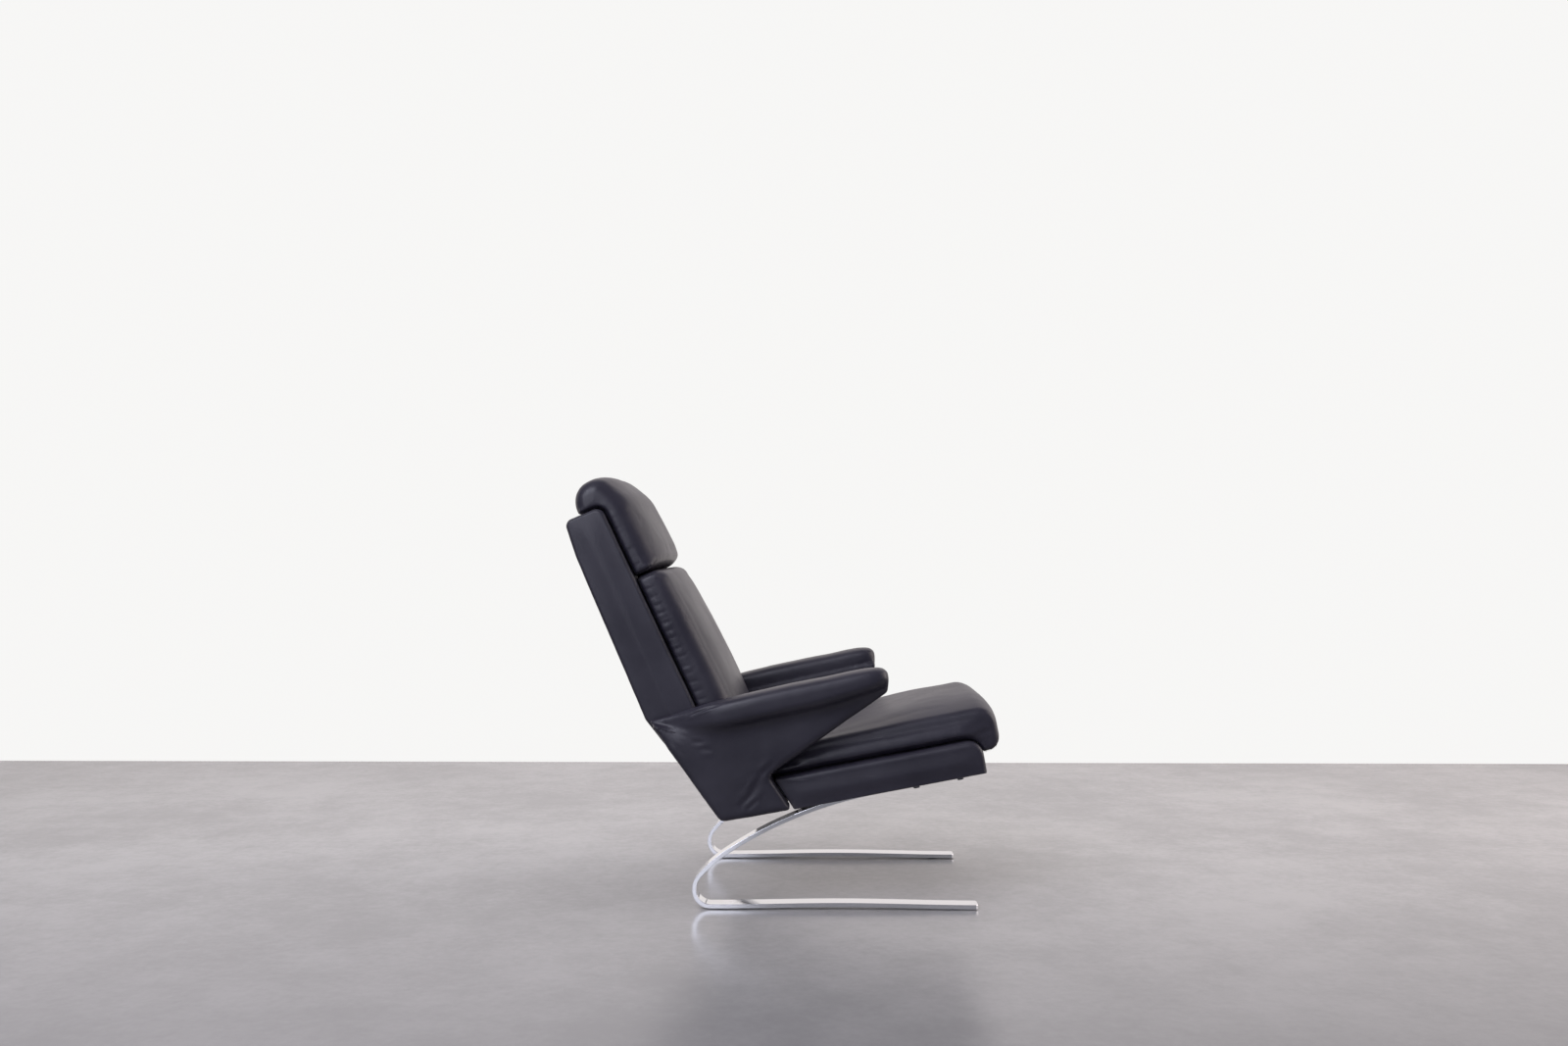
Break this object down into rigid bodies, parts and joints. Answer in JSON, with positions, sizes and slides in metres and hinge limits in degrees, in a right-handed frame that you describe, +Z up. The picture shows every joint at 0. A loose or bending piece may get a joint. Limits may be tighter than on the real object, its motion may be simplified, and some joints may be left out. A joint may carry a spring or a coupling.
{
  "type": "cantilever lounge chair",
  "caption": "Cantilever lounge chair on flat sprung steel runners, with a leather seat box, reclined high back, padded arms and loose seat, back and head cushions.",
  "frame": {"origin": "bottom centre of the bounding box, on the floor", "axes": "+X forward (the way the sitter faces), +Y to the sitter's left, +Z up"},
  "size_m": [1.0238, 0.73, 1.0136],
  "materials": {
    "runner_chrome": "polished",
    "leather": "satin",
    "foam": "open-cell foam",
    "timber": "sawn",
    "webbing": "woven",
    "lining": "plain cloth",
    "zip": "dulled",
    "hardware": "zinc plated",
    "glide": "matte"
  },
  "bodies": {
    "base": {"right_runner_foot": "runner_chrome", "left_runner_foot": "runner_chrome", "right_runner_bend": "runner_chrome", "left_runner_bend": "runner_chrome", "foot_glides": "glide"},
    "seat": {"right_runner_arm": "runner_chrome", "left_runner_arm": "runner_chrome", "runner_bolts": "hardware", "runner_nuts": "hardware", "seat_frame": "timber", "seat_webbing": "webbing", "seat_box": "leather", "seat_bottom_cloth": "lining", "seat_cushion_core": "foam", "seat_cushion_cover": "leather", "seat_cushion_zip": "zip", "back_frame": "timber", "back_webbing": "webbing", "back_shell": "leather", "back_cushion_core": "foam", "back_cushion_cover": "leather", "back_cushion_zip": "zip", "head_cushion_core": "foam", "head_cushion_cover": "leather", "head_cushion_zip": "zip", "right_arm_frame": "timber", "left_arm_frame": "timber", "right_side_panel": "leather", "left_side_panel": "leather", "right_arm_pad": "leather", "left_arm_pad": "leather", "frame_brackets": "hardware", "bracket_bolts": "hardware", "side_unit_bolts": "hardware"}
  },
  "joints": [
    {"name": "runner_flex", "type": "hinge", "parent": "base", "child": "seat", "pos_m": [-0.1728, 0, 0.045], "axis": [0, 1, 0], "range_deg": [-1, 5], "stiffness_Nm_per_rad": 3800, "springref_deg": -0.52, "deforming": ["right_runner_bend", "left_runner_bend"]}
  ]
}
